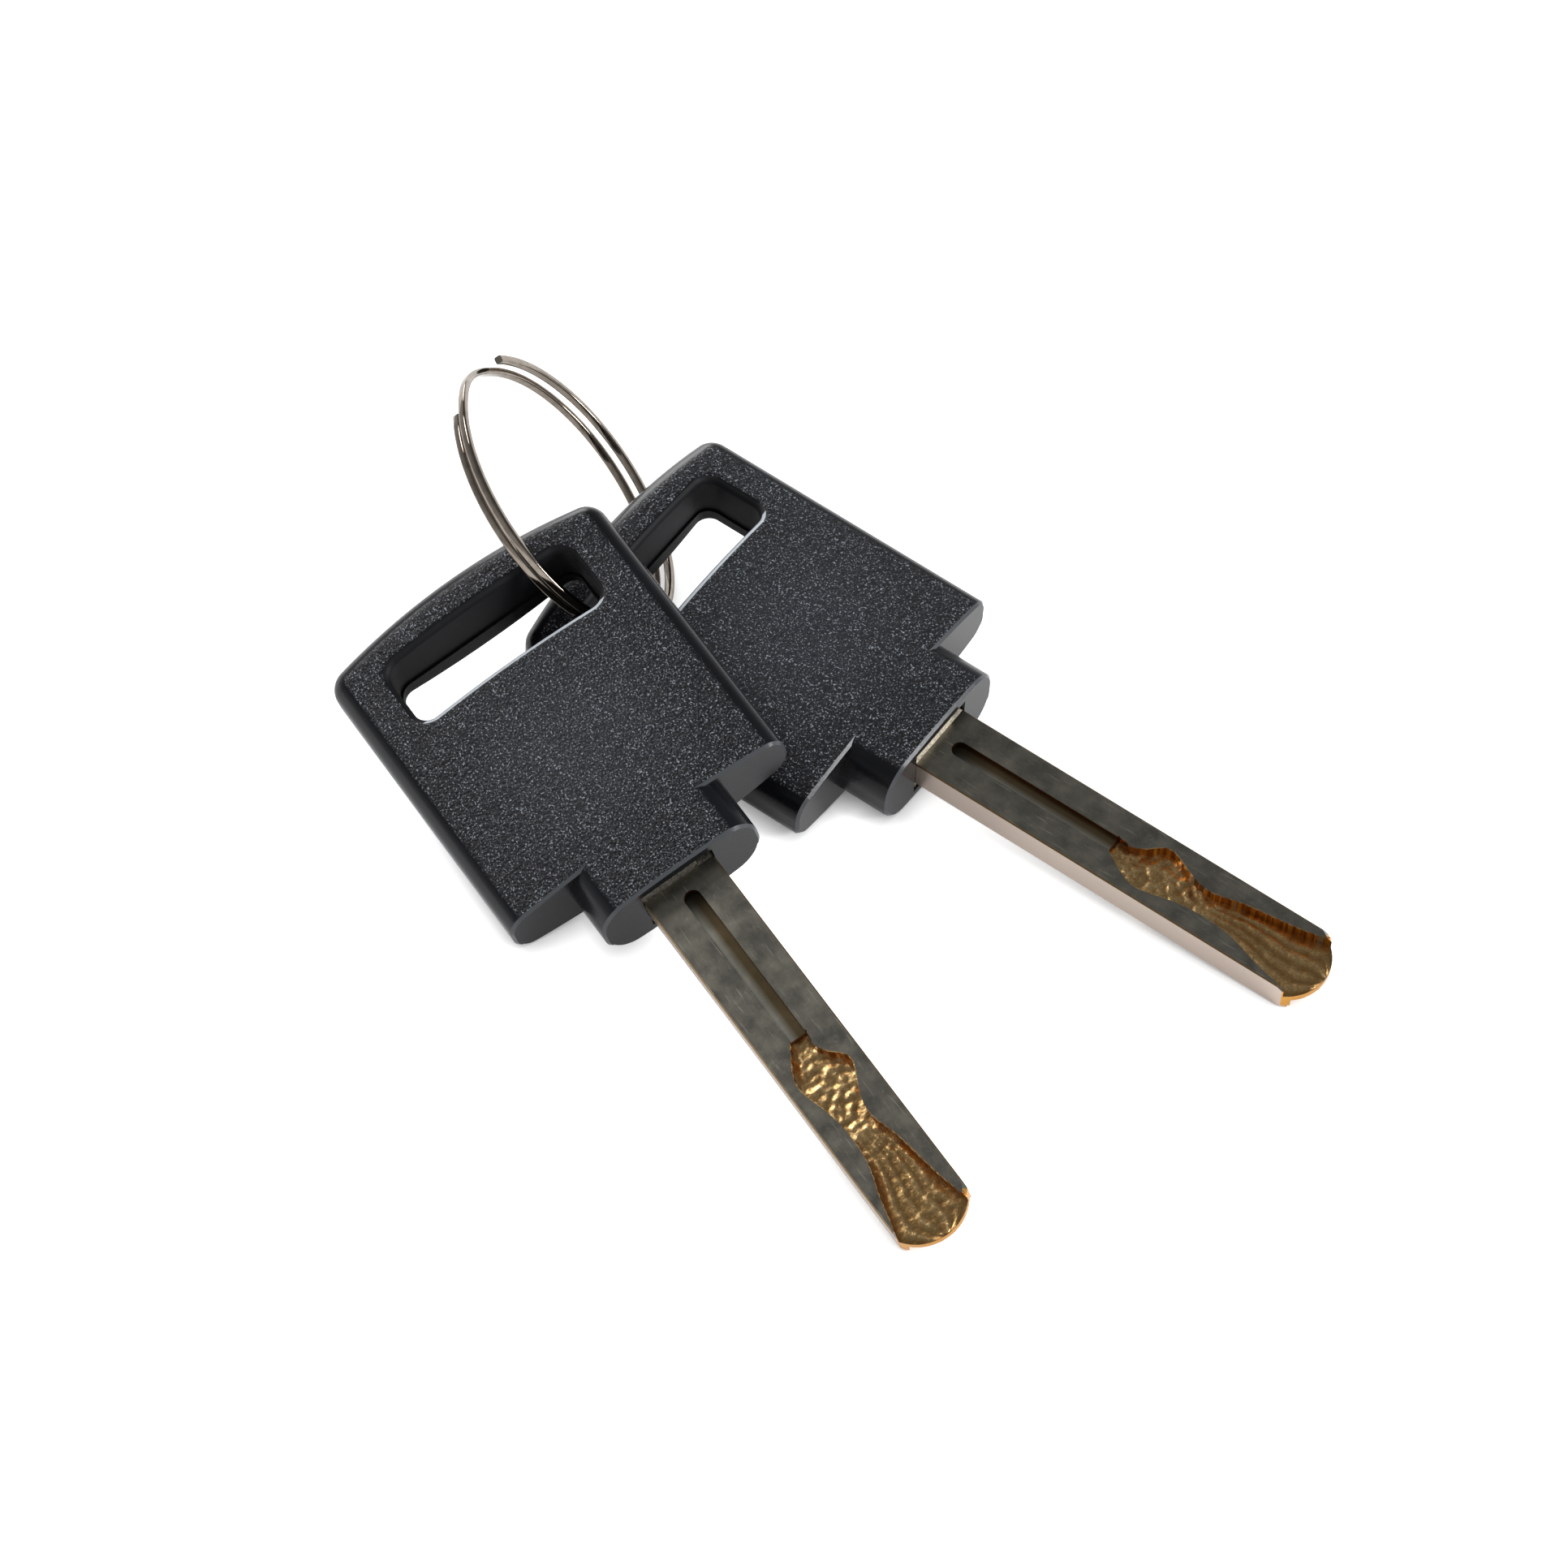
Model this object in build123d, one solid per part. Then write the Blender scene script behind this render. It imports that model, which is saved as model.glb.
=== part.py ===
from build123d import *
import math
import os

# Two identical lock keys threaded on one split ring, lying on a table.
# Millimetres, +Z up, the table is Z = 0.
# In a key's own frame the blade points along +X, the blade root is at X = 0,
# the front face looks to +Z and Z = 0 is the middle of the blade's thickness.

# Blade
blade_width = 7.0
blade_thickness = 2.8
blade_length = 38.7
tip_bulge = 2.0
tip_bevel = 0.35
blade_edge_break = 0.12
groove_width = 1.5
groove_depth = 0.45
groove_start = 1.3
track_start = 17.5
track_depth = 1.1

# Walls of the track: share of the way from its start to the tip, and distance from the blade's middle line
track_right_wall = [(0, 0.9), (0.108, 1.0), (0.193, 2.35), (0.311, 1.55), (0.429, 0.9),
                    (0.561, 1.55), (0.703, 2.0), (0.844, 2.5), (1.047, 3.9)]
track_left_wall = [(0, -0.75), (0.071, -1.65), (0.165, -2.5), (0.307, -1.95), (0.495, -1.5),
                   (0.618, -1.8), (0.741, -2.6), (0.844, -3.1), (1.047, -4.4)]

# Blade root and tang, which the bow holds
collar_width = 5.5
collar_length = 4.5
collar_step = 1.2
collar_recess = 0.25
tang_width = 9.0
tang_length = 21.0
tang_set_back = 2.0
tang_hole_diameter = 4.0
tang_hole_distance = 14.5
tang_corner_radius = 1.5

# Moulded bow
bow_width = 27.5
bow_length = 30.05
bow_thickness = 7.35
bow_side_thickness = 4.3
bow_side_rounding = 1.9
bow_corner_radius = 2.0
ring_end_bulge = 0.95
neck_width = 15.4
neck_length = 4.85
neck_rounding = 2.9
end_edge_break = 0.25
seam_below_middle = 1.4
seam_step = 0.12

# Slot for the ring
slot_length = 18.6
slot_width = 6.4
slot_corner_radius = 1.5
slot_edge_rounding = 0.7
slot_from_ring_end = 3.8
slot_rim_drop = 1.2
slot_step = 0.2

# Joints between the two shells
fit_clearance = 0.05
post_clearance = 0.1
locating_post_diameter = 2.0
locating_post_length = 1.2
locating_post_inset = 5.0

# Split ring
wire_height = 0.72
wire_width = 0.66
wire_edge_break = 0.16
ring_outer_diameter = 27.1
ring_full_turn = 310.5
ring_crossing = 50.0
ring_drop = 1.1
ring_taper = 0.55
ring_start_angle = 146.0
ring_tip_length = 2.4
ring_tip_thickness = 0.15

# Poses on the table, which is Z = 0
far_key_pitch = 3.45
far_key_roll = 6.4
far_key_height = 4.0
near_key_yaw = -20.86
near_key_pitch = 5.7
near_key_roll = 20.3
ring_lean = 47.06
ring_heading = 41.87

# From the middle of the far key's slot to the middle of the near key's slot and to the ring's centre
near_slot_offset = (-5.33, -17.24, 3.17)
ring_offset = (-10.59, -1.50, 5.05)

# The row's +X halves the angle between the two blades
set_turn = -near_key_yaw / 2

shoulder_x = -neck_length
ring_end_x = shoulder_x - bow_length
slot_x = ring_end_x + slot_from_ring_end + slot_width / 2
half_bow = bow_width / 2
half_thickness = bow_thickness / 2
seam_z = -seam_below_middle
crown_drop = half_thickness - bow_side_thickness / 2
crown_radius = (half_bow ** 2 + crown_drop ** 2) / (2 * crown_drop)
ring_end_angle = 2 * ring_full_turn + ring_crossing


def bow_outline(inset):
    """Plan of the bow with its gently arched ring end."""
    half = half_bow - inset
    back = ring_end_x + inset
    with BuildSketch() as plan:
        with BuildLine():
            Line((shoulder_x, -half), (shoulder_x, half))
            Line((shoulder_x, half), (back + ring_end_bulge, half))
            ThreePointArc((back + ring_end_bulge, half), (back, 0), (back + ring_end_bulge, -half))
            Line((back + ring_end_bulge, -half), (shoulder_x, -half))
        make_face()
        ring_corners = plan.vertices().group_by(Axis.X)[0]
        fillet(ring_corners, bow_corner_radius)
    return plan.sketch


def crowned_section():
    """Cross-section between the two shallow crowns, wider than the bow."""
    with BuildSketch(Plane.YZ) as section:
        with Locations((0, half_thickness - crown_radius)):
            Circle(crown_radius)
        with Locations((0, crown_radius - half_thickness)):
            Circle(crown_radius, mode=Mode.INTERSECT)
    return section.sketch


def neck_section(inset):
    """The same crowns cut to the neck's width, with rounded sides."""
    section = crowned_section() & Plane.YZ * Rectangle(neck_width - 2 * inset, 2 * bow_thickness)
    return fillet(section.vertices(), neck_rounding)


def bow_solid(inset):
    """Bow and neck as one form, before the slot and the pocket."""
    crowns = extrude(crowned_section(), amount=2 * bow_length, dir=(-1, 0, 0))
    bow = extrude(bow_outline(inset), amount=bow_thickness, both=True) & crowns
    rims = [edge for edge in bow.edges() if abs(edge.center().Z) > 1 and edge.center().X < shoulder_x - 0.1]
    bow = fillet(rims, bow_side_rounding)
    bow = chamfer(bow.faces().sort_by(Axis.X)[-1].edges(), end_edge_break)
    neck = extrude(neck_section(inset), amount=neck_length + neck_rounding, dir=(-1, 0, 0))
    neck = chamfer(neck.faces().sort_by(Axis.X)[-1].edges(), end_edge_break)
    return bow + neck


def slot_cut(inset):
    return extrude(Pos(slot_x, 0) * RectangleRounded(slot_width - 2 * inset, slot_length - 2 * inset,
                                                     slot_corner_radius - inset),
                   amount=bow_thickness, both=True)


def round_slot_edge(shell, outward):
    """Round the slot's edge where it meets the outer face of a shell."""
    reach = slot_length / 2 + slot_corner_radius
    rim = [edge for edge in shell.edges()
           if abs(edge.center().X - slot_x) < slot_width / 2 + 0.1
           and abs(edge.center().Y) < reach
           and abs((edge % 0.5).Z) < 0.7
           and outward * edge.center().Z > half_thickness - slot_rim_drop]
    return fillet(rim, slot_edge_rounding)


def locating_posts(diameter, length, start):
    """Two short posts beside the tang, at the shoulders."""
    spots = [(shoulder_x - locating_post_inset, side * (half_bow - locating_post_inset)) for side in (-1, 1)]
    return [Pos(x, y, start) * Cylinder(diameter / 2, length, align=(Align.CENTER, Align.CENTER, Align.MAX))
            for x, y in spots]


def tang_profile(grow):
    """Plan of the tang inside the bow, with rounded inner corners."""
    with BuildSketch() as plan:
        with Locations((-(tang_length + tang_set_back) / 2, 0)):
            Rectangle(tang_length - tang_set_back + 2 * grow, tang_width + 2 * grow)
        fillet(plan.vertices().group_by(Axis.X)[0], tang_corner_radius)
    return plan.sketch


def collar_box():
    """The thicker root of the blade. It fills the mouth from the left side only."""
    box = Box(collar_length, collar_width, blade_thickness + 2 * collar_step,
              align=(Align.MAX, Align.MIN, Align.CENTER))
    return Pos(-collar_recess, -blade_width / 2, 0) * box


def mouth_box():
    """Opening of the neck round the blade root. It reaches past the collar on the right."""
    height = blade_thickness + 2 * collar_step + 2 * fit_clearance
    return Box(collar_recess + collar_length, blade_width + 2 * fit_clearance, height,
               align=(Align.MAX, Align.CENTER, Align.CENTER))


def front_shell():
    shell = bow_solid(0) - Pos(-bow_length, 0, seam_z) * Box(4 * bow_length, 2 * bow_width, bow_thickness,
                                                            align=(Align.CENTER, Align.CENTER, Align.MAX))
    shell -= slot_cut(0)
    shell = round_slot_edge(shell, 1)
    hold = blade_thickness / 2 + fit_clearance
    shell -= Pos(0, 0, seam_z) * extrude(tang_profile(fit_clearance), amount=seam_below_middle + hold)
    shell -= mouth_box()
    post = Pos(-tang_hole_distance, 0, hold) * Cylinder(tang_hole_diameter / 2 - post_clearance,
                                                        hold - seam_z + locating_post_length,
                                                        align=(Align.CENTER, Align.CENTER, Align.MAX))
    shell += post
    for locating_post in locating_posts(locating_post_diameter, locating_post_length, seam_z):
        shell += locating_post
    return shell


def back_shell():
    shell = bow_solid(seam_step) - Pos(-bow_length, 0, seam_z) * Box(4 * bow_length, 2 * bow_width, bow_thickness,
                                                                    align=(Align.CENTER, Align.CENTER, Align.MIN))
    shell -= slot_cut(slot_step)
    shell = round_slot_edge(shell, -1)
    shell -= mouth_box()
    socket_depth = locating_post_length + post_clearance
    shell -= Pos(-tang_hole_distance, 0, seam_z) * Cylinder(tang_hole_diameter / 2, socket_depth,
                                                           align=(Align.CENTER, Align.CENTER, Align.MAX))
    for socket in locating_posts(locating_post_diameter + 2 * post_clearance, socket_depth, seam_z):
        shell -= socket
    return shell


def track_outline():
    """The track milled in the blade: two wavy walls that open over the tip."""
    reach = blade_length - track_start
    with BuildSketch() as plan:
        with BuildLine():
            right = Spline(*[(track_start + share * reach, y) for share, y in track_right_wall])
            left = Spline(*[(track_start + share * reach, y) for share, y in track_left_wall])
            Line(right @ 1, left @ 1)
            Line(right @ 0, left @ 0)
        make_face()
    return plan.sketch


def blade():
    tip_shoulder = blade_length - tip_bulge
    half = blade_width / 2
    with BuildSketch() as plan:
        with BuildLine():
            Line((-collar_length, -half), (tip_shoulder, -half))
            ThreePointArc((tip_shoulder, -half), (blade_length, 0), (tip_shoulder, half))
            Line((tip_shoulder, half), (-collar_length, half))
            Line((-collar_length, half), (-collar_length, -half))
        make_face()
    bar = extrude(plan.sketch, amount=blade_thickness / 2, both=True)
    bar = chamfer(bar.edges().filter_by(Axis.X), blade_edge_break)
    tip_edges = bar.edges().filter_by(GeomType.CIRCLE)
    bar = chamfer(tip_edges, tip_bevel)
    groove_end = track_start + groove_width
    groove_length = groove_end - groove_start
    groove = extrude(Pos(groove_start + groove_length / 2, 0) * SlotOverall(groove_length, groove_width),
                     amount=groove_depth)
    track = extrude(track_outline(), amount=track_depth)
    for cut, depth in ((groove, groove_depth), (track, track_depth)):
        one_side = Pos(0, 0, blade_thickness / 2 - depth) * cut
        bar -= one_side
        bar -= Rot(180, 0, 0) * one_side
    tang = extrude(tang_profile(0), amount=blade_thickness / 2, both=True)
    tang -= Pos(-tang_hole_distance, 0) * Cylinder(tang_hole_diameter / 2, bow_thickness)
    return bar + collar_box() + tang


def biarc(start, start_direction, end, end_direction):
    """Two arcs that leave one point and reach the next, tangent to both directions."""
    gap = end - start
    both = start_direction + end_direction
    turn = 2 * (1 - start_direction.dot(end_direction))
    along = gap.dot(both)
    reach = (math.sqrt(along ** 2 + turn * gap.dot(gap)) - along) / turn
    joint = (start + start_direction * reach + end - end_direction * reach) * 0.5
    middle = (end - end_direction * reach - start - start_direction * reach).normalized()
    return [TangentArc(start, joint, tangent=start_direction), TangentArc(joint, end, tangent=middle)]


def ring_stage(angle):
    """Nought on the upper turn, one on the lower turn, and easing over between them."""
    stage = min(max((angle - ring_full_turn) / ring_crossing, 0), 1)
    return stage * stage * (3 - 2 * stage)


def ring_point(angle):
    """Centre line of the wire. It starts on the upper side and runs clockwise seen from above."""
    stage = ring_stage(angle)
    radius = (ring_outer_diameter - wire_width) / 2 - ring_taper * stage
    height = ring_drop * (0.5 - stage)
    place = math.radians(ring_start_angle + angle)
    return Vector(radius * math.cos(place), -radius * math.sin(place), height)


def ring_direction(angle):
    step = 0.01
    return (ring_point(angle + step) - ring_point(angle - step)).normalized()


def split_ring():
    """One unbroken wire of almost two turns, square-cut at the start and filed thin at the end."""
    upper = [ring_full_turn * i / 4 for i in range(5)]
    lower = [ring_crossing + ring_full_turn + stop for stop in upper]
    stops = upper + lower
    arcs = []
    for first, last in zip(stops, stops[1:]):
        arcs += biarc(ring_point(first), ring_direction(first), ring_point(last), ring_direction(last))
    path = Wire(arcs)
    start = ring_point(0)
    outward = start - Vector(0, 0, start.Z)
    section = Rectangle(wire_width, wire_height)
    section = chamfer(section.vertices(), wire_edge_break)
    ring = sweep(Plane(origin=start, x_dir=outward, z_dir=ring_direction(0)) * section, path=path)
    end = ring_point(ring_end_angle)
    end_outward = (end - Vector(0, 0, end.Z)).normalized()
    tip_plane = Plane(origin=end + end_outward * (wire_width / 2), x_dir=ring_direction(ring_end_angle) * -1,
                      z_dir=end_outward)
    slant = math.degrees(math.atan2(wire_width - ring_tip_thickness, ring_tip_length))
    filed_off = Pos(0, 0, -ring_tip_thickness) * Rot(0, slant, 0) * Box(
        2 * ring_tip_length, 2 * wire_height, 2 * wire_width, align=(Align.CENTER, Align.CENTER, Align.MAX))
    return ring - tip_plane * filed_off


def wire_surface(angle):
    """The eight corners of the wire's section at one place."""
    centre = ring_point(angle)
    outward = (centre - Vector(0, 0, centre.Z)).normalized()
    half_width = wire_width / 2
    half_height = wire_height / 2
    points = []
    for side in (-1, 1):
        for end in (-1, 1):
            for across, along in ((half_width, half_height - wire_edge_break),
                                  (half_width - wire_edge_break, half_height)):
                point = centre + outward * (side * across)
                points.append((point.X, point.Y, point.Z + end * along))
    return points


def least_gap(step=3):
    """Least clear distance between neighbouring turns of the wire, measured on points."""
    count = int(ring_end_angle / step)
    per_turn = int(360 / step)
    rounds = [wire_surface(i * step) for i in range(count + 1)]
    best = ring_outer_diameter
    for i in range(count + 1 - per_turn):
        for j in range(i + per_turn - 2, min(count, i + per_turn + 2) + 1):
            best = min(best, min(math.dist(a, b) for a in rounds[i] for b in rounds[j]))
    return best


def key_pieces(name, place):
    """The three pieces of one key, at their place on the table."""
    return {name + "_front_shell": place * front_shell(),
            name + "_back_shell": place * back_shell(),
            name + "_blade": place * blade()}


def far_key_place():
    return Pos(0, 0, far_key_height) * Rot(0, far_key_pitch, 0) * Rot(far_key_roll, 0, 0)


def near_key_place():
    """The near key hangs on the same ring, so its slot keeps its place beside the far key's slot."""
    turn = Rot(0, 0, near_key_yaw) * Rot(0, near_key_pitch, 0) * Rot(near_key_roll, 0, 0)
    slot_middle = (far_key_place() * Pos(slot_x, 0, 0)).position + Vector(*near_slot_offset)
    return Pos(slot_middle) * turn * Pos(-slot_x, 0, 0)


def ring_place():
    lean = math.radians(ring_lean)
    heading = math.radians(ring_heading)
    level = (math.sin(heading), -math.cos(heading), 0)
    axis = (math.sin(lean) * math.cos(heading), math.sin(lean) * math.sin(heading), math.cos(lean))
    centre = (far_key_place() * Pos(slot_x, 0, 0)).position + Vector(*ring_offset)
    return Plane(origin=centre, x_dir=level, z_dir=axis)


def assembly():
    """All pieces, with the box round them centred on the origin and standing on Z = 0."""
    turn = Rot(0, 0, set_turn)
    pieces = key_pieces("far_key", turn * far_key_place())
    pieces.update(key_pieces("near_key", turn * near_key_place()))
    pieces["split_ring"] = turn * ring_place().location * split_ring()
    boxes = [piece.bounding_box() for piece in pieces.values()]
    middle_x = (min(box.min.X for box in boxes) + max(box.max.X for box in boxes)) / 2
    middle_y = (min(box.min.Y for box in boxes) + max(box.max.Y for box in boxes)) / 2
    shift = Pos(-middle_x, -middle_y, -min(box.min.Z for box in boxes))
    return {name: shift * piece for name, piece in pieces.items()}, shift * turn


if __name__ == "__main__":
    os.makedirs("parts", exist_ok=True)
    nodes, table_shift = assembly()
    for name, node in nodes.items():
        print(name, node.is_valid, len(node.solids()), round(node.volume, 2))
        export_step(node, "parts/" + name + ".step")
    ring_at = table_shift * ring_place().location
    print("ring centre", [round(value, 3) for value in ring_at.position],
          "axis", [round(value, 4) for value in Plane(ring_at).z_dir])
    print("least gap between the turns of the wire", round(least_gap(), 3))
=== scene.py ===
import math

import bmesh
import bpy
from mathutils import Euler, Matrix, Quaternion, Vector
from mathutils.noise import noise as noise_at


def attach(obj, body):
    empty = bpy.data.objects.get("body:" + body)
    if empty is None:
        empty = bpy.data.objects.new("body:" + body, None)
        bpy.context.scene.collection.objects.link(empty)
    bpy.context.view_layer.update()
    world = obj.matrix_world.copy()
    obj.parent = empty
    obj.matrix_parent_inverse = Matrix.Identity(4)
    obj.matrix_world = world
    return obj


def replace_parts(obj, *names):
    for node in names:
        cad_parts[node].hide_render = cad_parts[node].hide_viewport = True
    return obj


# Two lock keys on a split ring. Metres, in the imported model's frame.
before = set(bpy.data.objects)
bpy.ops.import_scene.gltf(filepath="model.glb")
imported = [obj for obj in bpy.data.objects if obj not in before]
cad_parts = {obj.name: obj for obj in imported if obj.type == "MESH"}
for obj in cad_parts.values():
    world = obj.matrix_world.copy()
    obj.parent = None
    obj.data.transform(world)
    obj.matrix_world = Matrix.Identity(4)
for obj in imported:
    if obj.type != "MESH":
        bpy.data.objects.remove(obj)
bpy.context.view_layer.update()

MM = 0.001

# Sizes shared with the CAD source, in millimetres, along each key from its blade root
blade_width = 7.0
blade_thickness = 2.8
blade_length = 38.7
blade_edge_break = 0.12
tip_bulge = 2.0
groove_start = 1.3
track_start = 17.5
track_depth = 1.1
seam_below_middle = 1.4
shoulder = -4.85
slot_front = -24.7
slot_width = 6.4
slot_length = 18.6

# Walls of the track seen from above: share of the track's length, then millimetres off the middle
track_right_wall = [(0, 0.9), (0.108, 1.0), (0.193, 2.35), (0.311, 1.55), (0.429, 0.9),
                    (0.561, 1.55), (0.703, 2.0), (0.844, 2.5), (1.047, 3.9)]
track_left_wall = [(0, -0.75), (0.071, -1.65), (0.165, -2.5), (0.307, -1.95), (0.495, -1.5),
                   (0.618, -1.8), (0.741, -2.6), (0.844, -3.1), (1.047, -4.4)]

# The ring, in millimetres and degrees
wire_height = 0.72
wire_width = 0.66
wire_edge_rounding = 0.17
ring_outer_diameter = 27.1
ring_full_turn = 310.5
ring_crossing = 50.0
ring_drop = 1.1
ring_taper = 0.55
ring_start_angle = 146.0
ring_end_angle = 2 * ring_full_turn + ring_crossing
ring_tip_length = 2.4
ring_tip_thickness = 0.15
ring_steps = 500

# Each key's place: its blade root in millimetres, then roll, pitch and yaw in degrees
key_places = {"far_key": ((5.708, 13.705, 3.988), (6.4, 3.45, 10.43)),
              "near_key": ((3.501, -14.283, 6.066), (20.3, 5.7, -10.43))}

# The ring's centre in millimetres, and how far and which way its axis leans, in degrees
ring_centre = (-31.825, 5.271, 10.717)
ring_lean = 47.06
ring_heading = 52.3

# The sheared root of each blade: the far one is bare, and the near one is painted dark as painted shade
root_tones = {"far_key": ("#b4ab98", "#f6ecd8"), "near_key": ("#3a3833", "#6c675d")}

# The milled skin that lines a track, in millimetres
skin = 0.015
skin_back = 0.12
skin_step = 0.1
skin_lip = 0.01
tip_gap = 0.03
open_side = 0.1
floor_points = 35

# Marks of the milling cutter in the track, in millimetres. The last number or two of each are rows of
# the noise.
scallop_pitch = 0.75
scallop_depth = 0.07
ridges = [(0.15, 0.8), (0.36, 1.0), (0.60, 0.75), (0.83, 0.9)]
ridge_height = 0.15
ridge_width = 0.07
ridge_sway = 0.05
sway_length = 2.2
sway_rows = (5.2, 1.3)
ridge_break = 0.9
ridge_row = 9.4
ridges_from = 27.0
ridges_full = 31.0
lump_height = 0.22
lump_size = 0.62
lump_row = 3.7
grit_height = 0.03
grit_size = 0.45
grit_row = 8.1

# Camera fitted to the photograph
camera_position = (0.24316, -0.26866, 0.42572)
camera_aim = (0.0005, 0.0004, 0.005)
camera_roll = 4.61
camera_lens = 152.9

# Lamps: direction, distance and size in metres, power in watts. The first lights the faces from the
# upper left, the second the rims of the slots from behind, and the third gives the streaks on the
# ring and the light edges of the shoulders.
lamps = {"soft_lamp": ((-0.78, -0.12, 0.62), 0.8, 0.32, 2.3),
         "low_back_lamp": ((-0.86, 0.48, 0.25), 1.2, 0.6, 3.5),
         "rim_lamp": ((0.76, 0.48, 0.44), 0.9, 0.3, 4.5)}


def key_matrix(key):
    """From a key's own frame in metres, blade along +X, to the model's frame."""
    root, turns = key_places[key]
    turn = Euler([math.radians(angle) for angle in turns], "XYZ")
    return Matrix.Translation(Vector(root) * MM) @ turn.to_matrix().to_4x4()


def linear(colour):
    """An sRGB hex colour as the linear values that a shader takes."""
    values = [int(colour[i:i + 2], 16) / 255 for i in (1, 3, 5)]
    return [v / 12.92 if v <= 0.04045 else ((v + 0.055) / 1.055) ** 2.4 for v in values] + [1.0]


def add(tree, kind, settings=None, values=(), **links):
    """Adds one node. Settings are its properties. Values go into its inputs in their order, and links
    by name. Each is a number, a colour, a socket, or a node, which gives its first live output."""
    node = tree.nodes.new(kind)
    for name, value in (settings or {}).items():
        setattr(node, name, value)
    live = [socket for socket in node.inputs if socket.enabled]
    given = list(zip(live, values))
    for name, value in links.items():
        given.append((next(socket for socket in live if socket.name == name.replace("_", " ")), value))
    for socket, value in given:
        if isinstance(value, bpy.types.Node):
            value = next(output for output in value.outputs if output.enabled)
        if isinstance(value, bpy.types.NodeSocket):
            tree.links.new(value, socket)
        else:
            socket.default_value = value
    return node


def new_material(name):
    """A material with an empty tree."""
    material = bpy.data.materials.new(name)
    material.use_nodes = True
    material.node_tree.nodes.clear()
    return material, material.node_tree


def in_key_frame(tree, key):
    """Object coordinates turned into the key's own frame: the point, its X, Y and Z, and how far the
    surface faces each way."""
    root, turns = key_places[key]
    place = add(tree, "ShaderNodeTexCoord").outputs
    angles = [math.radians(angle) for angle in turns]
    point = add(tree, "ShaderNodeMapping", {"vector_type": "TEXTURE"}, Vector=place["Object"],
                Location=[value * MM for value in root], Rotation=angles)
    normal = add(tree, "ShaderNodeMapping", {"vector_type": "TEXTURE"}, Vector=place["Normal"],
                 Rotation=angles)
    facing = add(tree, "ShaderNodeVectorMath", {"operation": "ABSOLUTE"}, (normal,))
    return (point, add(tree, "ShaderNodeSeparateXYZ", None, (point,)).outputs,
            add(tree, "ShaderNodeSeparateXYZ", None, (facing,)).outputs)


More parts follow.
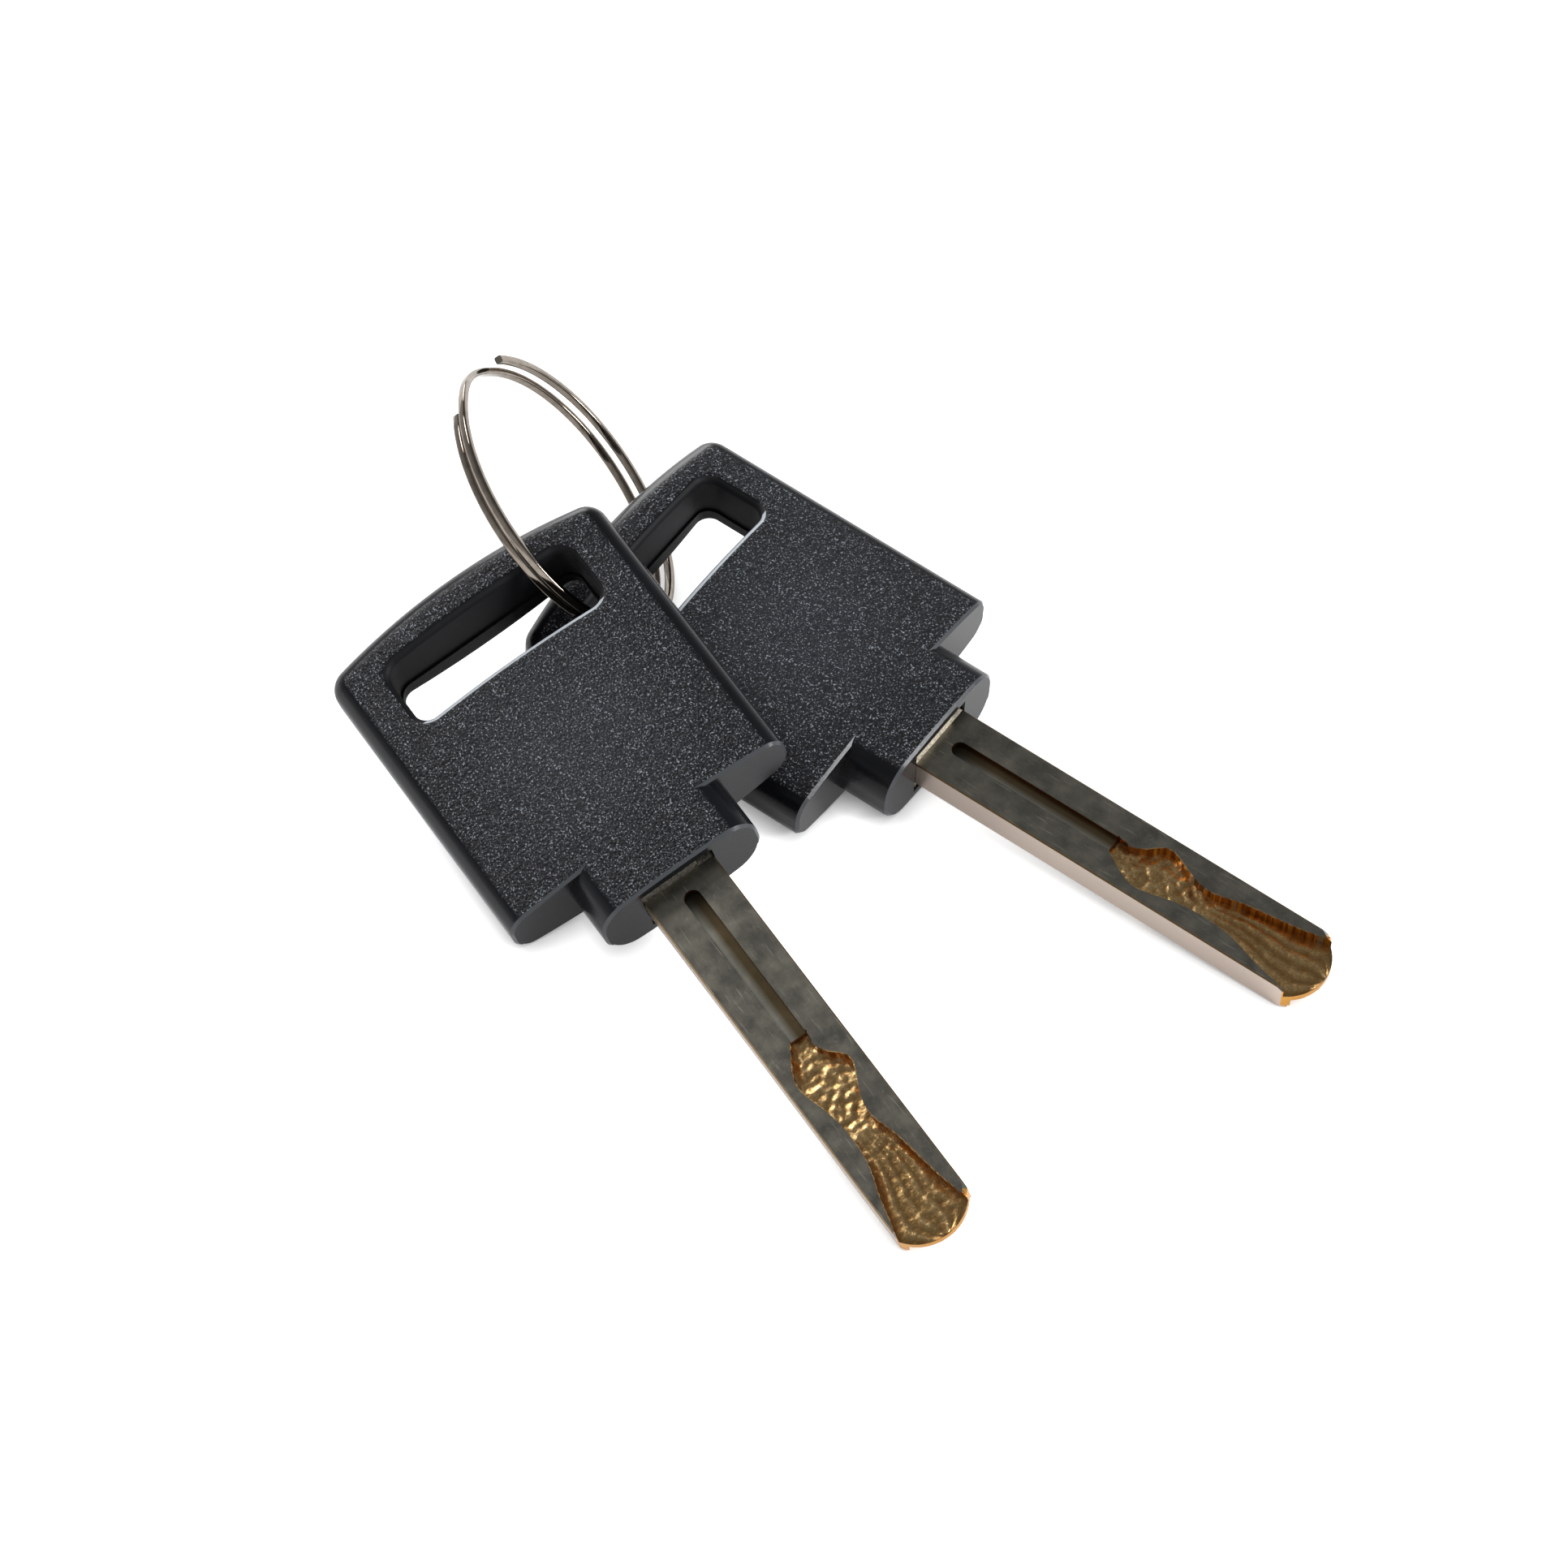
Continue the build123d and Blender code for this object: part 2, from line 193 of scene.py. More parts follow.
def spark_eroded_nylon(key):
    """Black glass-filled nylon, moulded in a spark-eroded tool. The faces have a fine dull grain, with
    bright specks on its peaks as painted glints. The sides slid out of the tool, so they are smoother,
    darker and softly glossy. A painted highlight lightens the slot's front edge, a fainter one the edges
    at the front, and a painted sheen makes the middle of the face paler. The grain is drawn at 0.16 mm,
    coarser than the real one, so that it shows."""
    grain_size, pit_size, grain_depth, cloud_size = 0.16, 0.26, 0.06, 6
    rim_reach = 0.3
    sheen_middle, sheen_core, sheen_reach = -15, 2, 13
    edge_highlight_strength = 0.13
    material, tree = new_material("spark_eroded_nylon_" + key)
    point, place, facing = in_key_frame(tree, key)
    face = add(tree, "ShaderNodeMapRange", {"interpolation_type": "SMOOTHSTEP"},
               (facing["Z"], 0.92, 0.975))
    grain = add(tree, "ShaderNodeTexNoise", Vector=point, Scale=1 / (grain_size * MM), Detail=2.0,
                Roughness=0.6)
    pits = add(tree, "ShaderNodeTexVoronoi", Vector=point, Scale=1 / (pit_size * MM))
    relief = add(tree, "ShaderNodeMath", {"operation": "SUBTRACT"}, (grain, pits.outputs["Distance"]))
    share = add(tree, "ShaderNodeMapRange", None, (face, 0.0, 1.0, 0.06, 1.0))
    depth = add(tree, "ShaderNodeMath", {"operation": "MULTIPLY"}, (relief, share))
    bump = add(tree, "ShaderNodeBump", Strength=1.0, Distance=grain_depth * MM, Height=depth)

    cloud = add(tree, "ShaderNodeTexNoise", Vector=point, Scale=1 / (cloud_size * MM))
    plain = add(tree, "ShaderNodeMix", {"data_type": "RGBA"}, (face, linear("#08090b"), linear("#0c0d10")))
    cloudy = add(tree, "ShaderNodeMix", {"data_type": "RGBA"}, (cloud, plain, linear("#14161a")))
    # Painted sheen: the middle of the face is painted paler.
    from_sheen_middle = add(tree, "ShaderNodeVectorMath", {"operation": "MULTIPLY_ADD"},
                     (point, (1, 1, 0), (-sheen_middle * MM, 0, 0)))
    from_sheen_middle = add(tree, "ShaderNodeVectorMath", {"operation": "LENGTH"}, (from_sheen_middle,))
    painted_sheen = add(tree, "ShaderNodeMapRange", {"interpolation_type": "SMOOTHSTEP"},
                  (from_sheen_middle, sheen_reach * MM, sheen_core * MM))
    painted_sheen = add(tree, "ShaderNodeMath", {"operation": "MULTIPLY"}, (painted_sheen, face))
    cloudy = add(tree, "ShaderNodeMix", {"data_type": "RGBA"}, (painted_sheen, cloudy, linear("#1f2227")))
    # Painted glints: the peaks of the grain are painted bright.
    painted_glint = add(tree, "ShaderNodeMapRange", {"interpolation_type": "SMOOTHSTEP"}, (grain, 0.57, 0.70))
    painted_glint = add(tree, "ShaderNodeMath", {"operation": "MULTIPLY"}, (painted_glint, face))
    tone = add(tree, "ShaderNodeMix", {"data_type": "RGBA"}, (painted_glint, cloudy, linear("#949aa3")))
    seam = add(tree, "ShaderNodeMath", {"operation": "COMPARE"},
               (place["Z"], -seam_below_middle * MM, 0.05 * MM))
    tone = add(tree, "ShaderNodeMix", {"data_type": "RGBA"}, (seam, tone, linear("#08080a")))

    # Painted highlight: the rounded front edge of the slot is painted light.
    beside_slot = add(tree, "ShaderNodeMath", {"operation": "COMPARE"},
                      (place["X"], (slot_front + rim_reach) * MM, (rim_reach + 0.08) * MM))
    round_off = add(tree, "ShaderNodeMath", {"operation": "COMPARE"}, (facing["Z"], 0.83, 0.13))
    between = add(tree, "ShaderNodeMath", {"operation": "COMPARE"},
                  (place["Y"], 0.0, (slot_length / 2 + rim_reach) * MM))
    painted_rim_highlight = add(tree, "ShaderNodeMath", {"operation": "MULTIPLY"}, (beside_slot, round_off))
    painted_rim_highlight = add(tree, "ShaderNodeMath", {"operation": "MULTIPLY"}, (painted_rim_highlight, between))
    # Painted highlight: the chamfers of the front edges are painted faintly light.
    front = add(tree, "ShaderNodeMath", {"operation": "GREATER_THAN"}, (place["X"], (shoulder - 0.5) * MM))
    broken = add(tree, "ShaderNodeMath", {"operation": "COMPARE"}, (facing["X"], 0.7, 0.2))
    painted_edge_highlight = add(tree, "ShaderNodeMath", {"operation": "MULTIPLY"}, (front, broken))
    painted_edge_highlight = add(tree, "ShaderNodeMath", {"operation": "MULTIPLY"}, (painted_edge_highlight, edge_highlight_strength))
    # The painted highlights are laid over the tone in a pale grey.
    painted_light = add(tree, "ShaderNodeMath", {"operation": "MAXIMUM"}, (painted_rim_highlight, painted_edge_highlight))
    colour = add(tree, "ShaderNodeMix", {"data_type": "RGBA"}, (painted_light, tone, linear("#b4b9c0")))

    in_slot = add(tree, "ShaderNodeMath", {"operation": "COMPARE"},
                  (place["X"], (slot_front - slot_width / 2) * MM, (slot_width / 2 + 0.4) * MM))
    in_slot = add(tree, "ShaderNodeMath", {"operation": "MULTIPLY"}, (in_slot, between))
    smooth = add(tree, "ShaderNodeMapRange", None, (in_slot, 0.0, 1.0, 0.24, 0.6))
    rough = add(tree, "ShaderNodeMix", None, (face, smooth, 0.40))
    shader = add(tree, "ShaderNodeBsdfPrincipled", Base_Color=colour, Roughness=rough, IOR=1.53,
                 Specular_IOR_Level=0.3, Normal=bump)
    add(tree, "ShaderNodeOutputMaterial", Surface=shader)
    return material


def nickel_over_brass(key):
    """Stamped brass blade with worn nickel plating. The flat faces are grey-olive with cloudy mottling
    and a few hairlines, painted darker than the paler, pinkish sides as painted shade, and brass shows
    along the edges, in the cuts and round the tip. In the groove, painted shade darkens the start and a
    painted reflection lightens one side. The blade root is left as sheared, and grainy, and on the near
    key it is painted dark as painted shade."""
    mottle_size, fleck_size, hairline_spacing, fleck_depth = 1.8, 0.22, 0.16, 0.03
    groove_reach = 1.2
    just_inside = 0.01
    material, tree = new_material("nickel_over_brass_" + key)
    point, place, facing = in_key_frame(tree, key)
    off_middle = add(tree, "ShaderNodeVectorMath", {"operation": "ABSOLUTE"}, (point,))
    off_middle = add(tree, "ShaderNodeSeparateXYZ", None, (off_middle,)).outputs
    mottle = add(tree, "ShaderNodeTexNoise", Vector=point, Scale=1 / (mottle_size * MM), Detail=5.0,
                 Roughness=0.6)
    fleck = add(tree, "ShaderNodeTexNoise", Vector=point, Scale=1 / (fleck_size * MM), Detail=2.0,
                Roughness=0.6)
    drawn = add(tree, "ShaderNodeMapping", None, (point,), Rotation=(0, 0, 0.35), Scale=(0.06, 1, 1))
    hairline = add(tree, "ShaderNodeTexNoise", Vector=drawn, Scale=1 / (hairline_spacing * MM), Detail=1.0)

    cloudy = add(tree, "ShaderNodeMapRange", None, (mottle, 0.35, 0.65))
    top = add(tree, "ShaderNodeMix", {"data_type": "RGBA"}, (cloudy, linear("#86837a"), linear("#a19c8f")))
    spots = add(tree, "ShaderNodeMapRange", None, (fleck, 0.60, 0.75, 0.0, 0.5))
    top = add(tree, "ShaderNodeMix", {"data_type": "RGBA"}, (spots, top, linear("#bdb8aa")))
    lines = add(tree, "ShaderNodeMapRange", None, (hairline, 0.66, 0.74, 0.0, 0.6))
    top = add(tree, "ShaderNodeMix", {"data_type": "RGBA"}, (lines, top, linear("#cfcabc")))
    # Painted shade: the flat faces get the darker top colours, the sides a paler one.
    flat = add(tree, "ShaderNodeMapRange", None, (facing["Z"], 0.3, 0.6))
    plated = add(tree, "ShaderNodeMix", {"data_type": "RGBA"}, (flat, linear("#c8b8ac"), top))

    rim = add(tree, "ShaderNodeMath", {"operation": "GREATER_THAN"},
              (off_middle["Y"], (blade_width / 2 - blade_edge_break + just_inside) * MM))
    crest = add(tree, "ShaderNodeMath", {"operation": "GREATER_THAN"},
                (off_middle["Z"], (blade_thickness / 2 - blade_edge_break + just_inside) * MM))
    edge = add(tree, "ShaderNodeMath", {"operation": "MULTIPLY"}, (rim, crest))
    colour = add(tree, "ShaderNodeMix", {"data_type": "RGBA"}, (edge, plated, linear("#8c7048")))

    inside = add(tree, "ShaderNodeMath", {"operation": "LESS_THAN"}, (off_middle["Y"], groove_reach * MM))
    sunk = add(tree, "ShaderNodeMath", {"operation": "LESS_THAN"},
               (off_middle["Z"], (blade_thickness / 2 - 0.03) * MM))
    in_groove = add(tree, "ShaderNodeMath", {"operation": "MULTIPLY"}, (inside, sunk))
    # Painted shade: the groove is painted dark at its start.
    start = add(tree, "ShaderNodeMapRange", None,
                (place["X"], (groove_start + 0.3) * MM, (groove_start + 4) * MM))
    # Painted reflection: one side of the groove is painted paler.
    painted_light = add(tree, "ShaderNodeMapRange", None, (place["Y"], 0.1 * MM, -0.5 * MM))
    varied_tone = add(tree, "ShaderNodeMix", {"data_type": "RGBA"}, (painted_light, linear("#77674d"), linear("#b3b0a3")))
    groove = add(tree, "ShaderNodeMix", {"data_type": "RGBA"}, (start, linear("#2a2621"), varied_tone))
    steep = add(tree, "ShaderNodeMapRange", None, (facing["Z"], 0.8, 0.4))
    groove = add(tree, "ShaderNodeMix", {"data_type": "RGBA"}, (steep, groove, linear("#8f6438")))
    colour = add(tree, "ShaderNodeMix", {"data_type": "RGBA"}, (in_groove, colour, groove))

    tip = add(tree, "ShaderNodeMath", {"operation": "GREATER_THAN"},
              (place["X"], (blade_length - tip_bulge + 0.02) * MM))
    side = add(tree, "ShaderNodeMath", {"operation": "LESS_THAN"}, (facing["Z"], 0.95))
    brass = add(tree, "ShaderNodeMath", {"operation": "MULTIPLY"}, (tip, side))
    colour = add(tree, "ShaderNodeMix", {"data_type": "RGBA"}, (brass, colour, linear("#d39a4a")))

    root = add(tree, "ShaderNodeMath", {"operation": "LESS_THAN"}, (place["X"], -0.1 * MM))
    grains = add(tree, "ShaderNodeMapRange", None, (fleck, 0.38, 0.62))
    # The near key's dark root tones are painted shade.
    dull, bright = root_tones[key]
    sheared = add(tree, "ShaderNodeMix", {"data_type": "RGBA"}, (grains, linear(dull), linear(bright)))
    colour = add(tree, "ShaderNodeMix", {"data_type": "RGBA"}, (root, colour, sheared))

    rough = add(tree, "ShaderNodeMapRange", None, (mottle, 0.3, 0.7, 0.27, 0.36))
    metal = add(tree, "ShaderNodeMapRange", None, (root, 0.0, 1.0, 1.0, 0.15))
    share = add(tree, "ShaderNodeMapRange", None, (root, 0.0, 1.0, 0.3, 1.0))
    depth = add(tree, "ShaderNodeMath", {"operation": "MULTIPLY"}, (fleck, share))
    bump = add(tree, "ShaderNodeBump", Strength=0.6, Distance=fleck_depth * MM, Height=depth)
    shader = add(tree, "ShaderNodeBsdfPrincipled", Base_Color=colour, Metallic=metal, Roughness=rough,
                 Normal=bump)
    add(tree, "ShaderNodeOutputMaterial", Surface=shader)
    return material


def milled_brass(key):
    """Bare brass as the cutter left it. The walls are orange-gold with dark upright marks of the
    cutter, and the floor is a rough olive gold with small bright glints, painted darker where it lies
    low, between its ridges, as painted shade."""
    grit_grain, mark_spacing, grit_depth, shade_fade_height = 0.2, 0.42, 0.05, 0.16
    material, tree = new_material("milled_brass_" + key)
    point, place, facing = in_key_frame(tree, key)
    wall = add(tree, "ShaderNodeMapRange", None, (facing["Z"], 0.62, 0.30))
    grit = add(tree, "ShaderNodeTexNoise", Vector=point, Scale=1 / (grit_grain * MM), Detail=3.0,
               Roughness=0.65)
    marks = add(tree, "ShaderNodeTexNoise", {"noise_dimensions": "1D"}, W=place["X"],
                Scale=1 / (mark_spacing * MM), Detail=2.0)
    off_middle = add(tree, "ShaderNodeMath", {"operation": "ABSOLUTE"}, (place["Z"],))
    low = blade_thickness / 2 - track_depth + skin
    # Painted shade: the floor is painted darker where it lies low, between its ridges and lumps.
    crest = add(tree, "ShaderNodeMapRange", None, (off_middle, low * MM, (low + shade_fade_height) * MM))
    coarse = add(tree, "ShaderNodeMapRange", None, (grit, 0.36, 0.62))
    light = add(tree, "ShaderNodeMix", {"data_type": "RGBA"}, (coarse, linear("#d4a268"), linear("#f8da9e")))
    floor = add(tree, "ShaderNodeMix", {"data_type": "RGBA"}, (crest, linear("#a47c48"), light))
    cut = add(tree, "ShaderNodeMapRange", None, (marks, 0.42, 0.60))
    milled = add(tree, "ShaderNodeMix", {"data_type": "RGBA"}, (cut, linear("#aa6824"), linear("#f0aa4c")))
    colour = add(tree, "ShaderNodeMix", {"data_type": "RGBA"}, (wall, floor, milled))
    bump = add(tree, "ShaderNodeBump", Strength=0.6, Distance=grit_depth * MM, Height=grit)
    shader = add(tree, "ShaderNodeBsdfPrincipled", Base_Color=colour, Metallic=1.0, Roughness=0.3,
                 Normal=bump)
    add(tree, "ShaderNodeOutputMaterial", Surface=shader)
    return material


def polished_nickel_wire():
    """Flattened spring-steel wire, nickel plated and tumbled bright: mirror bands with a warm cast."""
    wear_size = 0.8
    material, tree = new_material("polished_nickel_wire")
    place = add(tree, "ShaderNodeTexCoord").outputs["Object"]
    varied_tone = add(tree, "ShaderNodeTexNoise", Vector=place, Scale=1 / (wear_size * MM), Detail=4.0)
    colour = add(tree, "ShaderNodeMix", {"data_type": "RGBA"}, (varied_tone, linear("#70665c"), linear("#aaa095")))
    rough = add(tree, "ShaderNodeMapRange", None, (varied_tone, 0.0, 1.0, 0.04, 0.12))
    shader = add(tree, "ShaderNodeBsdfPrincipled", Base_Color=colour, Metallic=1.0, Roughness=rough)
    add(tree, "ShaderNodeOutputMaterial", Surface=shader)
    return material


def dress(node, material):
    """Gives a CAD node its material."""
    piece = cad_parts[node]
    piece.data.materials.clear()
    piece.data.materials.append(material)


def smooth_through(points, x):
    """Height at x of a smooth line through the points."""
    last = len(points) - 1
    i = max(0, min(last - 1, sum(1 for p in points[1:-1] if p[0] <= x)))
    before, start, end, after = (points[max(0, min(last, k))] for k in (i - 1, i, i + 1, i + 2))
    gap = end[0] - start[0]
    leave = (end[1] - before[1]) / (end[0] - before[0]) * gap
    reach = (after[1] - start[1]) / (after[0] - start[0]) * gap
    t = min(max((x - start[0]) / gap, 0.0), 1.0)
    return ((2 * t ** 3 - 3 * t ** 2 + 1) * start[1] + (t ** 3 - 2 * t ** 2 + t) * leave
            + (3 * t ** 2 - 2 * t ** 3) * end[1] + (t ** 3 - t ** 2) * reach)


def half_outline(x):
    """Half the blade's width at x, with its rounded tip."""
    tip_radius = ((blade_width / 2) ** 2 + tip_bulge ** 2) / (2 * tip_bulge)
    if x <= blade_length - tip_bulge:
        return blade_width / 2
    return math.sqrt(max(tip_radius ** 2 - (x - blade_length + tip_radius) ** 2, 0))


def finish_mesh(mesh, name, body, material):
    """Turns a bmesh in the model's frame into a piece that rides on a body."""
    weld_distance, sharp_angle = 0.002, 38
    bmesh.ops.remove_doubles(mesh, verts=mesh.verts, dist=weld_distance * MM)
    bmesh.ops.recalc_face_normals(mesh, faces=mesh.faces)
    data = bpy.data.meshes.new(name)
    mesh.to_mesh(data)
    mesh.free()
    data.materials.append(material)
    data.shade_smooth()
    data.set_sharp_from_angle(angle=math.radians(sharp_angle))
    piece = bpy.data.objects.new(name, data)
    bpy.context.scene.collection.objects.link(piece)
    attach(piece, body)
    return piece


def track_floor(x, y, share):
    """Height of the milled floor above the cut's depth: lumps near the start, ridges towards the tip.
    Share goes from 0 at the right wall to 1 at the left one."""
    fan = min(max((x - ridges_from) / (ridges_full - ridges_from), 0), 1)
    sway = ridge_sway * noise_at((x / sway_length, *sway_rows))
    ridge = max(rise * math.exp(-((share - centre - sway) / ridge_width) ** 2) for centre, rise in ridges)
    ridge *= 0.75 + 0.5 * noise_at((x / ridge_break, share * 3, ridge_row))
    lump = 0.5 + 0.5 * noise_at((x / lump_size, y / lump_size, lump_row))
    grit = noise_at((x / grit_size, y / grit_size, grit_row))
    return max(fan * ridge_height * ridge + (1 - 0.8 * fan) * lump_height * lump + grit_height * grit, 0)


def track_section(x):
    """The skin's closed outline across the blade at x: walls and floor in front, plain behind. Where
    the track runs out at the blade's side, the skin has no wall there."""
    edge = half_outline(x) - tip_gap
    scallop = scallop_depth * (1 - abs(math.sin(math.pi * x / scallop_pitch)))
    share = (x - track_start) / (blade_length - track_start)
    right = smooth_through(track_right_wall, share)
    left = smooth_through(track_left_wall, share)
    top = blade_thickness / 2 - skin_lip
    bottom = blade_thickness / 2 - track_depth
    right_top = top if right < edge - open_side else bottom + skin
    left_top = top if left > open_side - edge else bottom + skin
    right_in = min(right - skin - scallop, edge)
    left_in = max(left + skin + scallop, -edge)
    floor = []
    for i in range(floor_points):
        part = i / (floor_points - 1)
        y = right_in + (left_in - right_in) * part
        floor.append((y, bottom + skin + track_floor(x, y, part)))
    outer_right = min(right + skin_back, edge)
    outer_left = max(left - skin_back, -edge)
    behind = bottom - skin_back
    return ([(right_in, max(right_top, floor[0][1]))] + floor + [(left_in, max(left_top, floor[-1][1]))]
            + [(outer_left, left_top), (outer_left, behind), (outer_right, behind), (outer_right, right_top)])


def track_lining(key, face):
    """The milled skin of one track. The back face's track is the front one turned half round."""
    place = key_matrix(key) @ Matrix.Diagonal((1, face, face, 1))
    mesh = bmesh.new()
    start = track_start + 0.02
    stop = blade_length - 2 * tip_gap
    count = int((stop - start) / skin_step)
    sections = []
    for i in range(count + 1):
        x = start + (stop - start) * i / count
        sections.append([mesh.verts.new(place @ Vector((x * MM, y * MM, z * MM)))
                         for y, z in track_section(x)])
    for first, second in zip(sections, sections[1:]):
        for i in range(len(first)):
            j = (i + 1) % len(first)
            mesh.faces.new((first[i], first[j], second[j], second[i]))
    mesh.faces.new(sections[0])
    mesh.faces.new(sections[-1])
    name = key + ("_front_track" if face > 0 else "_back_track")
    return finish_mesh(mesh, name, key, materials[key + "_brass"])


def ring_matrix():
    """From the ring's own frame, its axis along +Z, to the model's frame."""
    lean = math.radians(ring_lean)
    heading = math.radians(ring_heading)
    level = Vector((math.sin(heading), -math.cos(heading), 0))
    axis = Vector((math.sin(lean) * math.cos(heading), math.sin(lean) * math.sin(heading), math.cos(lean)))
    turn = Matrix((level, axis.cross(level), axis)).transposed()
    return Matrix.Translation(Vector(ring_centre) * MM) @ turn.to_4x4()


def ring_point(angle):
    """Centre line of the wire, as in the CAD source, in metres."""
    stage = min(max((angle - ring_full_turn) / ring_crossing, 0), 1)
    stage = stage * stage * (3 - 2 * stage)
    radius = (ring_outer_diameter - wire_width) / 2 - ring_taper * stage
    place = math.radians(ring_start_angle + angle)
    return Vector((radius * math.cos(place), -radius * math.sin(place), ring_drop * (0.5 - stage))) * MM


def wire_tree():
    """Geometry Nodes: a wire of rounded square section swept along a path."""
    tree = bpy.data.node_groups.new("wire along a path", "GeometryNodeTree")
    face = tree.interface
    for name, kind in (("Path", "Geometry"), ("Width", "Float"), ("Height", "Float"), ("Corner", "Float"),
                       ("Finish", "Material")):
        face.new_socket(name=name, in_out="INPUT", socket_type="NodeSocket" + kind)
    face.new_socket(name="Wire", in_out="OUTPUT", socket_type="NodeSocketGeometry")
    given = add(tree, "NodeGroupInput").outputs
    line = add(tree, "GeometryNodeMeshToCurve", Mesh=given["Path"])
    level = add(tree, "GeometryNodeSetCurveNormal", {"mode": "Z_UP"}, Curve=line)
    square = add(tree, "GeometryNodeCurvePrimitiveQuadrilateral", Width=given["Width"],
                 Height=given["Height"])
    profile = add(tree, "GeometryNodeFilletCurve", {"mode": "POLY"}, Curve=square, Count=5,
                  Radius=given["Corner"])
    wire = add(tree, "GeometryNodeCurveToMesh", Curve=level, Profile_Curve=profile, Fill_Caps=True)
    solid = add(tree, "GeometryNodeRealizeInstances", Geometry=wire)
    dressed = add(tree, "GeometryNodeSetMaterial", Geometry=solid, Material=given["Finish"])
    add(tree, "NodeGroupOutput", Wire=dressed)
    return tree


def file_end(mesh):
    """Files the wire's last few millimetres down to a thin edge on its inner side."""
    near_end = 4
    below_first_turn = -0.05
    end = ring_point(ring_end_angle)
    back = (ring_point(ring_end_angle - 1) - end).normalized()
    outer = Vector((end.x, end.y)).length + wire_width * MM / 2
    slope = (wire_width - ring_tip_thickness) / ring_tip_length
    for vertex in mesh.verts:
        reach = (vertex.co - end).dot(back)
        radius = Vector((vertex.co.x, vertex.co.y)).length
        if (vertex.co.z < below_first_turn * MM and reach < ring_tip_length * MM
                and (vertex.co - end).length < near_end * MM):
            thinnest = outer - ring_tip_thickness * MM - max(reach, 0) * slope
            if radius < thinnest:
                vertex.co.x *= thinnest / radius
                vertex.co.y *= thinnest / radius


def split_ring():
    """One wire of almost two turns, square-cut at the start and filed thin at the end."""
    path = bpy.data.meshes.new("ring_path")
    points = [ring_point(ring_end_angle * i / ring_steps) for i in range(ring_steps + 1)]
    path.from_pydata(points, [(i, i + 1) for i in range(ring_steps)], [])
    holder = bpy.data.objects.new("ring_path", path)
    bpy.context.scene.collection.objects.link(holder)
    tree = wire_tree()
    modifier = holder.modifiers.new("wire", "NODES")
    modifier.node_group = tree
    sockets = {item.name: item.identifier for item in tree.interface.items_tree if item.in_out == "INPUT"}
    modifier[sockets["Width"]] = wire_width * MM
    modifier[sockets["Height"]] = wire_height * MM
    modifier[sockets["Corner"]] = wire_edge_rounding * MM
    modifier[sockets["Finish"]] = materials["wire"]
    ready = holder.evaluated_get(bpy.context.evaluated_depsgraph_get())
    plain = bpy.data.meshes.new_from_object(ready)
    bpy.data.objects.remove(holder)
    mesh = bmesh.new()
    mesh.from_mesh(plain)
    file_end(mesh)
    mesh.transform(ring_matrix())
    piece = finish_mesh(mesh, "split_ring_wire", "split_ring", materials["wire"])
    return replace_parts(piece, "split_ring")


def add_lamp(name, direction, distance, size, power):
    """A round soft lamp that shines on the object from a direction."""
    lamp = bpy.data.lights.new(name, "AREA")
    lamp.shape = "DISK"
    lamp.size = size
    lamp.energy = power
    holder = bpy.data.objects.new(name, lamp)
    towards = Vector(direction).normalized()
    holder.location = towards * distance
    holder.rotation_euler = towards.to_track_quat("Z", "Y").to_euler()
    bpy.context.scene.collection.objects.link(holder)


def make_floor():
    """White floor that the camera sees as white. The keys' lamp shadows stay on it, and a painted shade
    from ambient occlusion dims its glow where they come near it.
    """
    floor_size, below_keys, shadow_reach = 3.0, 0.02, 2
    bpy.ops.mesh.primitive_plane_add(size=floor_size, location=(0, 0, -below_keys * MM))
    floor = bpy.context.object
    floor.name = "table_top"
    material, tree = new_material("white_paper_sweep")
    ray = add(tree, "ShaderNodeLightPath").outputs
    # Painted shade: the floor's glow is dimmed by ambient occlusion near the keys.
    open_air = add(tree, "ShaderNodeAmbientOcclusion", {"samples": 6}, Distance=shadow_reach * MM)
    white = add(tree, "ShaderNodeMath", {"operation": "MULTIPLY"}, (open_air.outputs["AO"], 0.8))
    mirrored = add(tree, "ShaderNodeMath", {"operation": "MULTIPLY"}, (ray["Is Glossy Ray"], 0.22))
    glow = add(tree, "ShaderNodeMix", None, (ray["Is Camera Ray"], mirrored, white))
    matt = add(tree, "ShaderNodeBsdfDiffuse", Color=(0.92, 0.92, 0.92, 1))
    lit = add(tree, "ShaderNodeEmission", Color=(1, 1, 1, 1), Strength=glow)
    both = add(tree, "ShaderNodeAddShader", None, (matt, lit))
    add(tree, "ShaderNodeOutputMaterial", Surface=both)
    floor.data.materials.append(material)


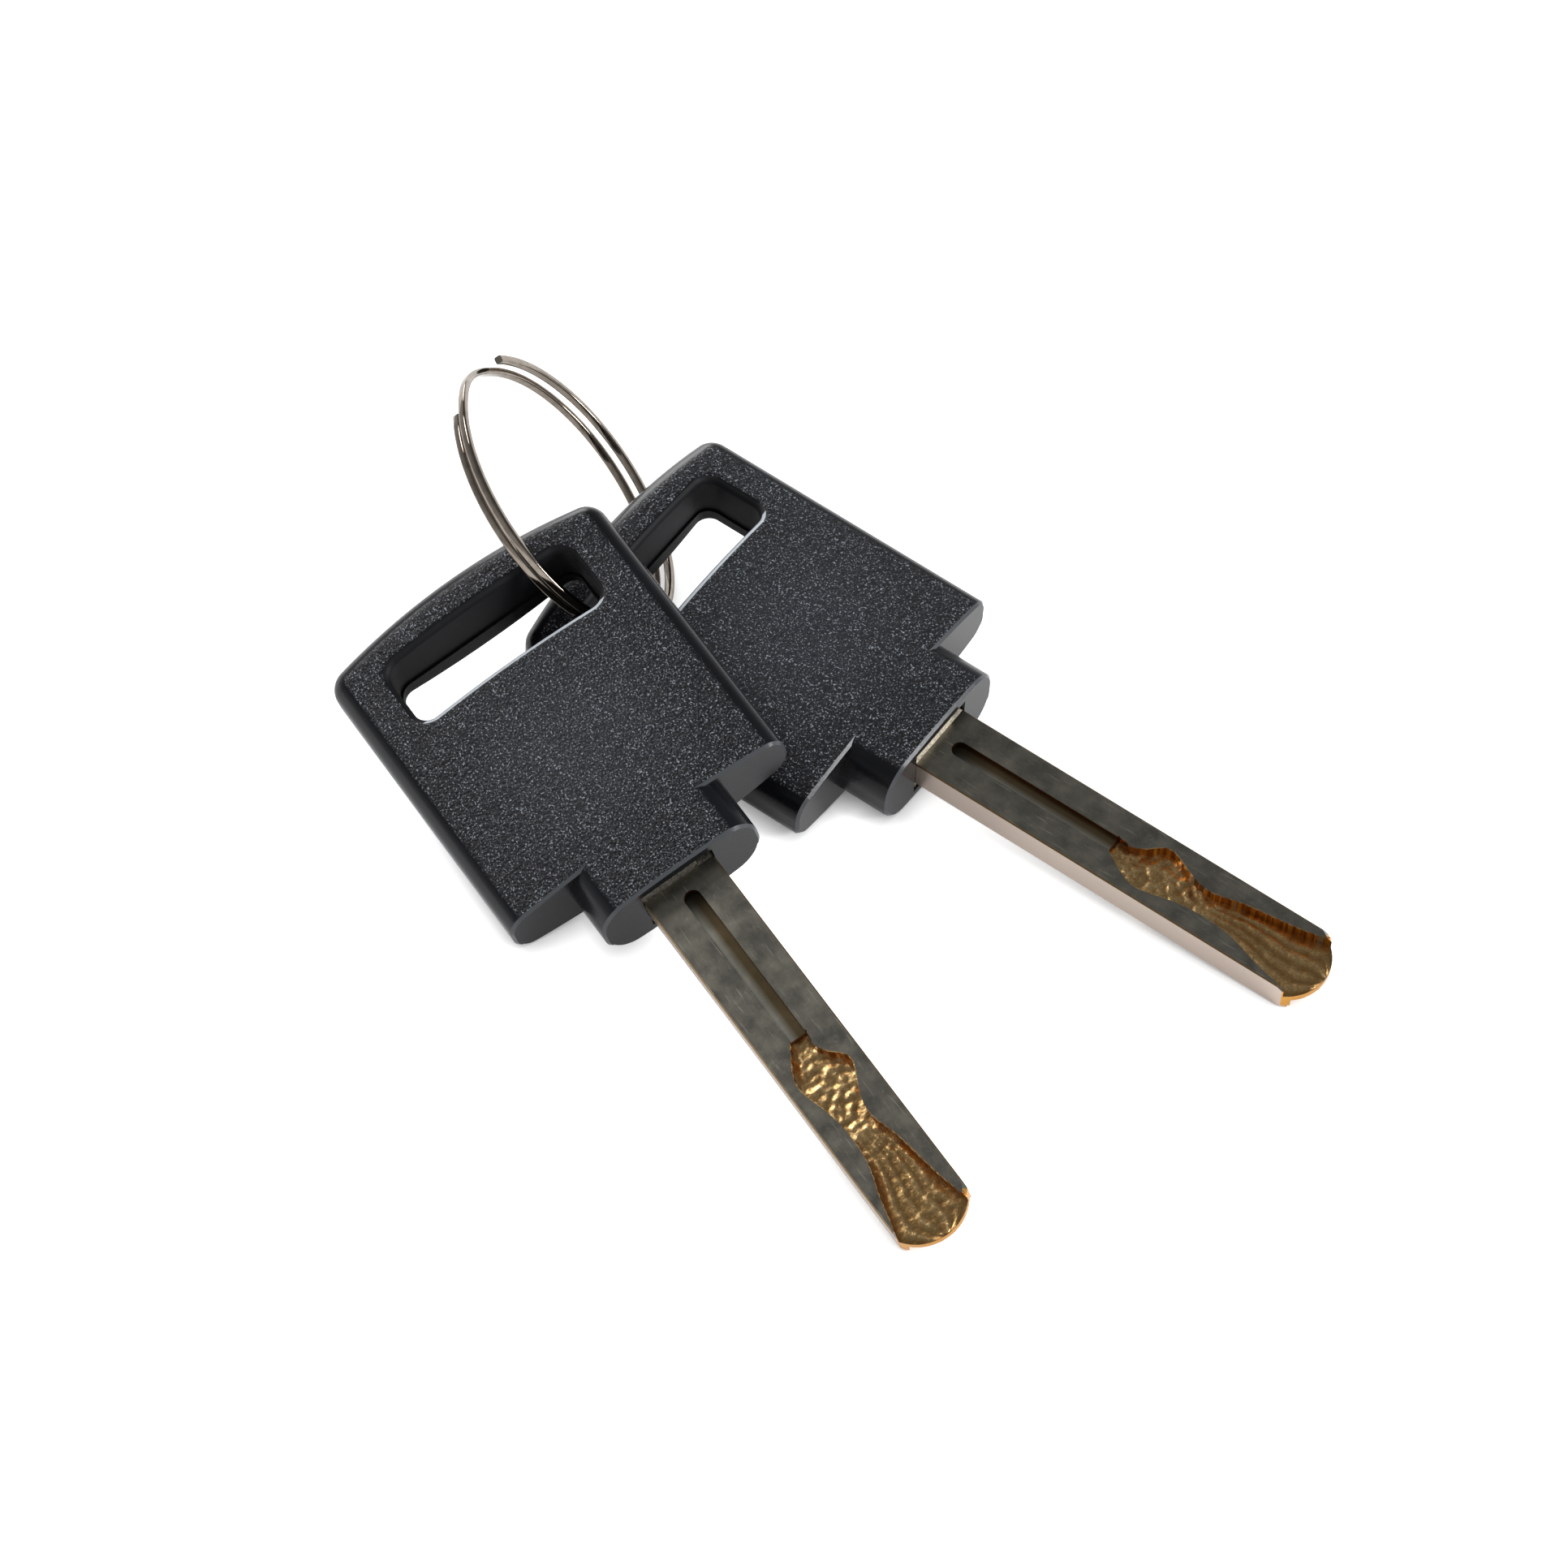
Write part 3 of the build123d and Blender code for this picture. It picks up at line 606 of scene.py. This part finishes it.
def make_world():
    """Even light from all round, white to the camera. Mirrored, it falls off from the horizon up, so
    that the metal has bands of light and dark."""
    world = bpy.data.worlds.new("studio")
    bpy.context.scene.world = world
    world.use_nodes = True
    tree = world.node_tree
    tree.nodes.clear()
    ray = add(tree, "ShaderNodeLightPath").outputs
    place = add(tree, "ShaderNodeTexCoord").outputs["Generated"]
    height = add(tree, "ShaderNodeSeparateXYZ", None, (place,)).outputs["Z"]
    mirrored = add(tree, "ShaderNodeMapRange", {"interpolation_type": "SMOOTHSTEP"},
                   (height, 0.05, 0.6, 0.6, 0.15))
    level = add(tree, "ShaderNodeMix", None, (ray["Is Glossy Ray"], 0.7, mirrored))
    level = add(tree, "ShaderNodeMix", None, (ray["Is Camera Ray"], level, 1.0))
    sky = add(tree, "ShaderNodeBackground", Color=(0.98, 0.99, 1.0, 1), Strength=level)
    add(tree, "ShaderNodeOutputWorld", Surface=sky)


def make_camera():
    """The camera that the photograph was taken with, as far as it can be told."""
    camera = bpy.data.cameras.new("camera")
    camera.lens = camera_lens
    camera.sensor_width = 36
    camera.clip_start = 0.01
    camera.clip_end = 10
    holder = bpy.data.objects.new("camera", camera)
    position = Vector(camera_position)
    aim = (Vector(camera_aim) - position).to_track_quat("-Z", "Y")
    holder.rotation_mode = "QUATERNION"
    holder.rotation_quaternion = aim @ Quaternion((0, 0, 1), math.radians(camera_roll))
    holder.location = position
    bpy.context.scene.collection.objects.link(holder)
    bpy.context.scene.camera = holder


make_camera()
make_floor()
make_world()
for name, values in lamps.items():
    add_lamp(name, *values)
materials = {"wire": polished_nickel_wire()}
for key in key_places:
    materials[key + "_bow"] = spark_eroded_nylon(key)
    materials[key + "_blade"] = nickel_over_brass(key)
    materials[key + "_brass"] = milled_brass(key)
    dress(key + "_front_shell", materials[key + "_bow"])
    dress(key + "_back_shell", materials[key + "_bow"])
    dress(key + "_blade", materials[key + "_blade"])
    track_lining(key, 1)
    track_lining(key, -1)
split_ring()

bpy.context.scene.view_settings.view_transform = "Standard"
